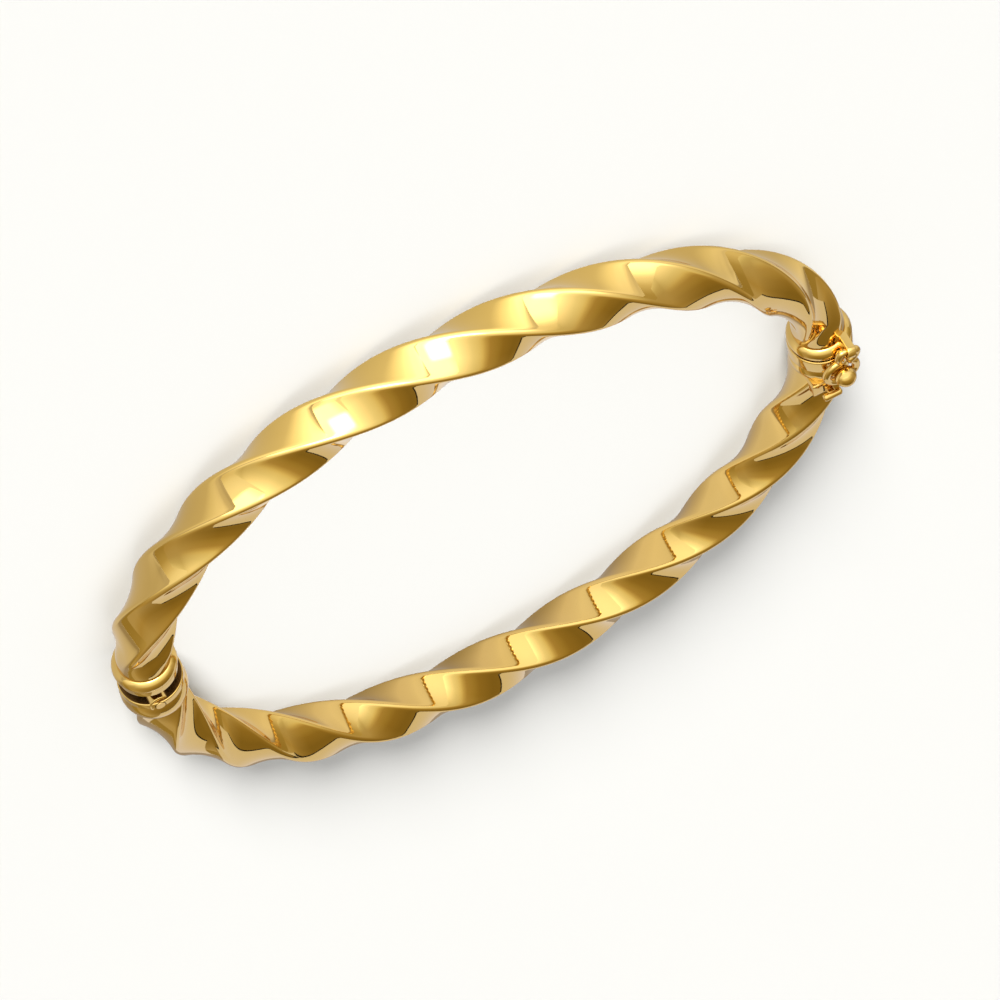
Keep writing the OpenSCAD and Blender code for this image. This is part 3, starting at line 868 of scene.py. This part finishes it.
def sunlight(name, azimuth, elevation, spread, floor_level):
    """Even light that reflections don't see. It gives a white floor the brightness floor_level."""
    data = bpy.data.lights.new(name, "SUN")
    data.angle = np.radians(spread)
    data.energy = floor_level * np.pi / np.sin(np.radians(elevation))
    lamp = lamp_of(name, data, towards(azimuth, elevation, SUN_DISTANCE))
    lamp.visible_glossy = False
    return lamp


pale_floor()

# The bangle's halves are lit apart, as with a flag between them: the softboxes beside the lens light the
# front one and the catch alone
front_things = bpy.data.collections.new("front_things")
for thing in riders["front"] + riders["catch"]:
    front_things.objects.link(thing)
back_things = bpy.data.collections.new("back_things")
for thing in riders["back"] + riders["button"]:
    back_things.objects.link(thing)
wide = softbox("wide_softbox", towards(azimuth=80, elevation=12, distance=300), width=800, height=420,
               radiance=1.7, across=[(0, 0), (0.16, 0.06), (0.38, 1), (0.9, 1), (1, 0)],
               upward=[(0, 1), (0.7, 1), (1, 0.35)])
core = softbox("core_softbox", towards(azimuth=95, elevation=27, distance=450), width=280, height=310,
               radiance=5.0, across=[(0, 0), (0.3, 1), (0.7, 1), (1, 0)],
               upward=[(0, 0), (0.25, 1), (0.75, 1), (1, 0)])
for box in (wide, core):
    box.light_linking.receiver_collection = front_things

# Light for the floor: most of it throws the shadow of the back half and the button, and no other one, away
# from the camera
shadow_sun = sunlight("shadow_sun", azimuth=96, elevation=15, spread=16, floor_level=0.69)
shadow_sun.light_linking.blocker_collection = back_things
fill_sun = sunlight("fill_sun", azimuth=60, elevation=65, spread=60, floor_level=0.24)
fill_sun.data.use_shadow = False

# Card behind the bangle, pale with a black upper edge
CARD_X = (-60, 190)
CARD_Y = -125
CARD_TOP = 93
CARD_EDGE = 8
BACK_TONE = (0.80, 0.78, 0.86)
card("back_card", upright_corners(*CARD_X, CARD_Y, 0, CARD_TOP), lambda nodes, links: BACK_TONE)
card("back_edge", upright_corners(*CARD_X, CARD_Y, CARD_TOP, CARD_TOP + CARD_EDGE),
     lambda nodes, links: BLACK)

# Level diffuser above, bright on the camera's side and olive at the back, by (millimetres, colour) stops
DIFFUSER_HALF = 420
DIFFUSER_NEAR = 125
DIFFUSER_Z = 110
DIFFUSER_TURN = np.radians(4)
OVER_MIDDLE = [(-DIFFUSER_HALF, (0.30, 0.22, 0.07)), (-90, (0.26, 0.185, 0.05)),
               (-40, (0.33, 0.235, 0.07)), (-20, (0.41, 0.31, 0.11)), (4, (0.49, 0.37, 0.16)),
               (17, (0.68, 0.57, 0.32)), (27, (0.88, 0.8, 0.54)), (36, (0.96, 0.92, 0.72)),
               (56, (1.08, 1.08, 0.96)), (90, (1.5, 1.5, 1.5)), (DIFFUSER_NEAR, (2.0, 2.0, 2.0))]
OVER_SIDES = [(-DIFFUSER_HALF, (0.54, 0.45, 0.28)), (-200, (0.54, 0.45, 0.28)),
              (-100, (0.49, 0.38, 0.18)), (-28, (0.53, 0.44, 0.27)), (25, (0.56, 0.48, 0.32)),
              (72, (0.68, 0.63, 0.46)), (DIFFUSER_NEAR, (0.95, 0.92, 0.8))]
SIDE_SHARE = [(-DIFFUSER_HALF, WHITE), (-200, WHITE), (-50, BLACK), (40, BLACK), (200, WHITE),
              (DIFFUSER_HALF, WHITE)]


def diffuser_light(nodes, links):
    """The middle's colours along Y, turning into the sides' by the share along X."""
    return blended(nodes, links, graded(nodes, links, "X", SIDE_SHARE),
                   graded(nodes, links, "Y", OVER_MIDDLE), graded(nodes, links, "Y", OVER_SIDES))


over_all = level_corners(-DIFFUSER_HALF, DIFFUSER_HALF, -DIFFUSER_HALF, DIFFUSER_NEAR, DIFFUSER_Z)
diffuser = card("diffuser", over_all, diffuser_light)
diffuser.rotation_euler.z = DIFFUSER_TURN

# What reflections see of the floor: its tone near the bangle, darker towards the bangle's ends, a glow past
# the front half and shade past the back half. FRONT_GLOW, GLOW_SHARE and SHADE_SHARE go by millimetres past
# the oval, GLOW_LENGTH and END_TONE by those along X, and FLOOR_TONE and the depths by those along Y
OVAL_A, OVAL_B = SPAN / 2 + OVAL_TO_HINGE, (FRONT["height"] + BACK["height"]) / 2
GLOW_NEAR, GLOW_FAR = -8, 60
FRONT_GLOW = [(GLOW_NEAR, (0.5, 0.45, 0.4)), (-1.5, (0.5, 0.45, 0.4)), (0.5, (0.72, 0.68, 0.6)),
              (3.6, (0.9, 0.86, 0.74)), (5.4, (1.4, 1.38, 1.22)), (8, (1.85, 1.85, 1.8)),
              (14, (2.5, 2.5, 2.5)), (GLOW_FAR, (2.9, 2.9, 3.0))]
GLOW_SHARE = [(GLOW_NEAR, BLACK), (-3, WHITE), (GLOW_FAR, WHITE)]
GLOW_LENGTH = [(-60, BLACK), (-36, (0.08, 0.08, 0.08)), (-26, (0.4, 0.4, 0.4)), (-14, WHITE), (8, WHITE),
               (24, (0.45, 0.45, 0.45)), (36, (0.2, 0.2, 0.2)), (60, (0.1, 0.1, 0.1))]
GLOW_DEPTH = [(-4, BLACK), (8, WHITE)]
FLOOR_TONE = [(-60, (0.44, 0.39, 0.34)), (-31, (0.38, 0.34, 0.29)), (-25, (0.82, 0.77, 0.8)),
              (-18, (0.98, 0.94, 0.95)), (8, (0.9, 0.86, 0.85)), (19, (0.68, 0.63, 0.57)),
              (30, (0.8, 0.75, 0.72))]
END_TONE = [(-60, (0.8, 0.8, 0.8)), (-25, (0.82, 0.81, 0.79)), (-15, WHITE), (12, WHITE),
            (26, (0.8, 0.79, 0.77)), (60, (0.8, 0.8, 0.8))]
SHADE_SHARE = [(GLOW_NEAR, BLACK), (-3.5, BLACK), (-0.5, WHITE), (GLOW_FAR, WHITE)]
SHADE_DEPTH = [(-10, WHITE), (4, BLACK)]
SHADE_TONE = (0.40, 0.35, 0.30)


def floor_glow(nodes, links):
    """The floor's tone along Y times the ends' tone along X, blended into the shade and then into the glow.

    The shares of shade and glow go by the distance past the oval of half axes a and b, which is
    (sqrt((x / a)^2 + (y / b)^2) - 1) times b. Their depths along Y and the glow's length along X keep them
    to their own side of the bangle."""
    place = nodes.new("ShaderNodeTexCoord")
    centred = nodes.new("ShaderNodeVectorMath")
    centred.operation = "ADD"
    centred.inputs[1].default_value = (OVAL_TO_HINGE * MM, 0, 0)
    links.new(place.outputs["Object"], centred.inputs[0])
    scaled = nodes.new("ShaderNodeVectorMath")
    scaled.operation = "MULTIPLY"
    scaled.inputs[1].default_value = (1 / (OVAL_A * MM), 1 / (OVAL_B * MM), 0)
    links.new(centred.outputs[0], scaled.inputs[0])
    length = nodes.new("ShaderNodeVectorMath")
    length.operation = "LENGTH"
    links.new(scaled.outputs[0], length.inputs[0])
    past = nodes.new("ShaderNodeMapRange")
    past.inputs["From Min"].default_value = 1 + GLOW_NEAR / OVAL_B
    past.inputs["From Max"].default_value = 1 + GLOW_FAR / OVAL_B
    links.new(length.outputs["Value"], past.inputs["Value"])
    by_distance = []
    for stops in (FRONT_GLOW, GLOW_SHARE, SHADE_SHARE):
        colours = ramp(nodes, shares(stops))
        links.new(past.outputs["Result"], colours.inputs["Fac"])
        by_distance.append(colours.outputs["Color"])
    glow, glow_share, shade_share = by_distance

    tone = product(nodes, links, graded(nodes, links, "Y", FLOOR_TONE), graded(nodes, links, "X", END_TONE))
    behind = product(nodes, links, shade_share, graded(nodes, links, "Y", SHADE_DEPTH))
    tone = blended(nodes, links, behind, tone, SHADE_TONE)
    before = product(nodes, links, glow_share, graded(nodes, links, "Y", GLOW_DEPTH))
    before = product(nodes, links, before, graded(nodes, links, "X", GLOW_LENGTH))
    return blended(nodes, links, before, tone, glow)


GLOW_HALF = 700
GLOW_Z = 0.08
card("floor_glow", level_corners(-GLOW_HALF, GLOW_HALF, -GLOW_HALF, GLOW_HALF, GLOW_Z), floor_glow)

# Light from all round, by (degrees off the key direction, colour) stops: warm and dim behind. The camera
# itself sees an even pale backdrop past the floor
KEY_WAY = towards(azimuth=97, elevation=12)
ROOM_STOPS = [(0, (1.55, 1.55, 1.55)), (20, (1.5, 1.5, 1.5)), (35, (1.4, 1.4, 1.4)),
              (50, (1.2, 1.2, 1.2)), (60, (1.08, 1.06, 1.0)), (70, (0.86, 0.79, 0.62)),
              (85, (0.55, 0.46, 0.25)), (100, (0.42, 0.33, 0.14)), (120, (0.38, 0.29, 0.1)),
              (180, (0.36, 0.27, 0.09))]
BACKDROP_TONE = (0.92, 0.92, 0.9)
world = bpy.data.worlds.new("studio")
world.use_nodes = True
bpy.context.scene.world = world
nodes, links = world.node_tree.nodes, world.node_tree.links
direction = nodes.new("ShaderNodeTexCoord")
towards_key = nodes.new("ShaderNodeVectorMath")
towards_key.operation = "DOT_PRODUCT"
towards_key.inputs[1].default_value = KEY_WAY.tolist()
links.new(direction.outputs["Generated"], towards_key.inputs[0])
angle = nodes.new("ShaderNodeMath")
angle.operation = "ARCCOSINE"
links.new(towards_key.outputs["Value"], angle.inputs[0])
share = nodes.new("ShaderNodeMath")
share.operation = "DIVIDE"
share.inputs[1].default_value = np.pi
links.new(angle.outputs["Value"], share.inputs[0])
room = ramp(nodes, shares(ROOM_STOPS))
links.new(share.outputs["Value"], room.inputs["Fac"])
seen = nodes.new("ShaderNodeLightPath")
glow = before_bounces(nodes, links, room.outputs["Color"])
shown = blended(nodes, links, seen.outputs["Is Camera Ray"], glow, BACKDROP_TONE)
links.new(shown, nodes["Background"].inputs["Color"])

bpy.context.scene.view_settings.view_transform = "Standard"
